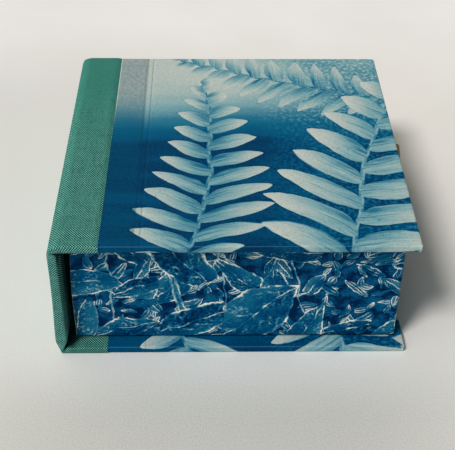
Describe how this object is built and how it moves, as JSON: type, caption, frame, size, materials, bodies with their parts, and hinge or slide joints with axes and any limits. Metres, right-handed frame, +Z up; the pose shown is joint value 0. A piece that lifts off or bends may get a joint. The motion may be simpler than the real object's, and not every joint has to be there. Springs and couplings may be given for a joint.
{
  "type": "clamshell book box",
  "caption": "Drop-spine clamshell box shaped like a book: two hinged covers with a cloth spine, and a large tray that closes over a small one.",
  "frame": {"origin": "centre of the back cover's outer face, between the spine's outer face and the covers' fore-edges, and between their head and tail edges", "axes": "+Z up through the closed box, from the back cover to the front cover; +X from the spine to the fore-edge; +Y from the tail edge to the head edge"},
  "size_m": [0.1277, 0.1234, 0.051],
  "materials": {
    "case_greyboard": "raw greyboard",
    "tray_greyboard": "raw greyboard",
    "green_bookcloth": "woven bookcloth, matt",
    "cover_print": "blue-toned print, satin",
    "tray_print": "blue-toned print, satin",
    "small_tray_paper": "deep blue paper, matt",
    "lining_paper": "laid paper, matt",
    "tab_leather": "tan leather"
  },
  "bodies": {
    "back_cover": {"back_board": "case_greyboard", "back_cloth": "green_bookcloth", "back_print": "cover_print", "back_hinge_lining": "green_bookcloth", "lower_joint_cloth": "green_bookcloth", "small_tray_base": "tray_greyboard", "small_tray_head_wall": "tray_greyboard", "small_tray_tail_wall": "tray_greyboard", "small_tray_fore_edge_wall": "tray_greyboard", "small_tray_covering": "small_tray_paper", "small_tray_lining": "lining_paper"},
    "spine": {"spine_board": "case_greyboard", "spine_cloth": "green_bookcloth", "spine_lining": "green_bookcloth"},
    "front_cover": {"front_board": "case_greyboard", "front_cloth": "green_bookcloth", "front_print": "cover_print", "front_hinge_lining": "green_bookcloth", "upper_joint_cloth": "green_bookcloth", "large_tray_base": "tray_greyboard", "large_tray_head_wall": "tray_greyboard", "large_tray_tail_wall": "tray_greyboard", "large_tray_fore_edge_wall": "tray_greyboard", "large_tray_covering": "tray_print", "large_tray_lining": "lining_paper", "pull_tab": "tab_leather"}
  },
  "joints": [
    {"name": "back_hinge", "type": "hinge", "parent": "back_cover", "child": "spine", "pos_m": [-0.06194, 0, 0.00056], "axis": [0, -1, 0], "range_deg": [0, 90], "deforming": ["lower_joint_cloth"]},
    {"name": "front_hinge", "type": "hinge", "parent": "spine", "child": "front_cover", "pos_m": [-0.06172, 0, 0.05022], "axis": [0, -1, 0], "range_deg": [0, 90], "deforming": ["upper_joint_cloth"]}
  ],
  "couplings": [
    {"joint": "back_hinge", "follows": "front_hinge", "ratio": 1}
  ]
}
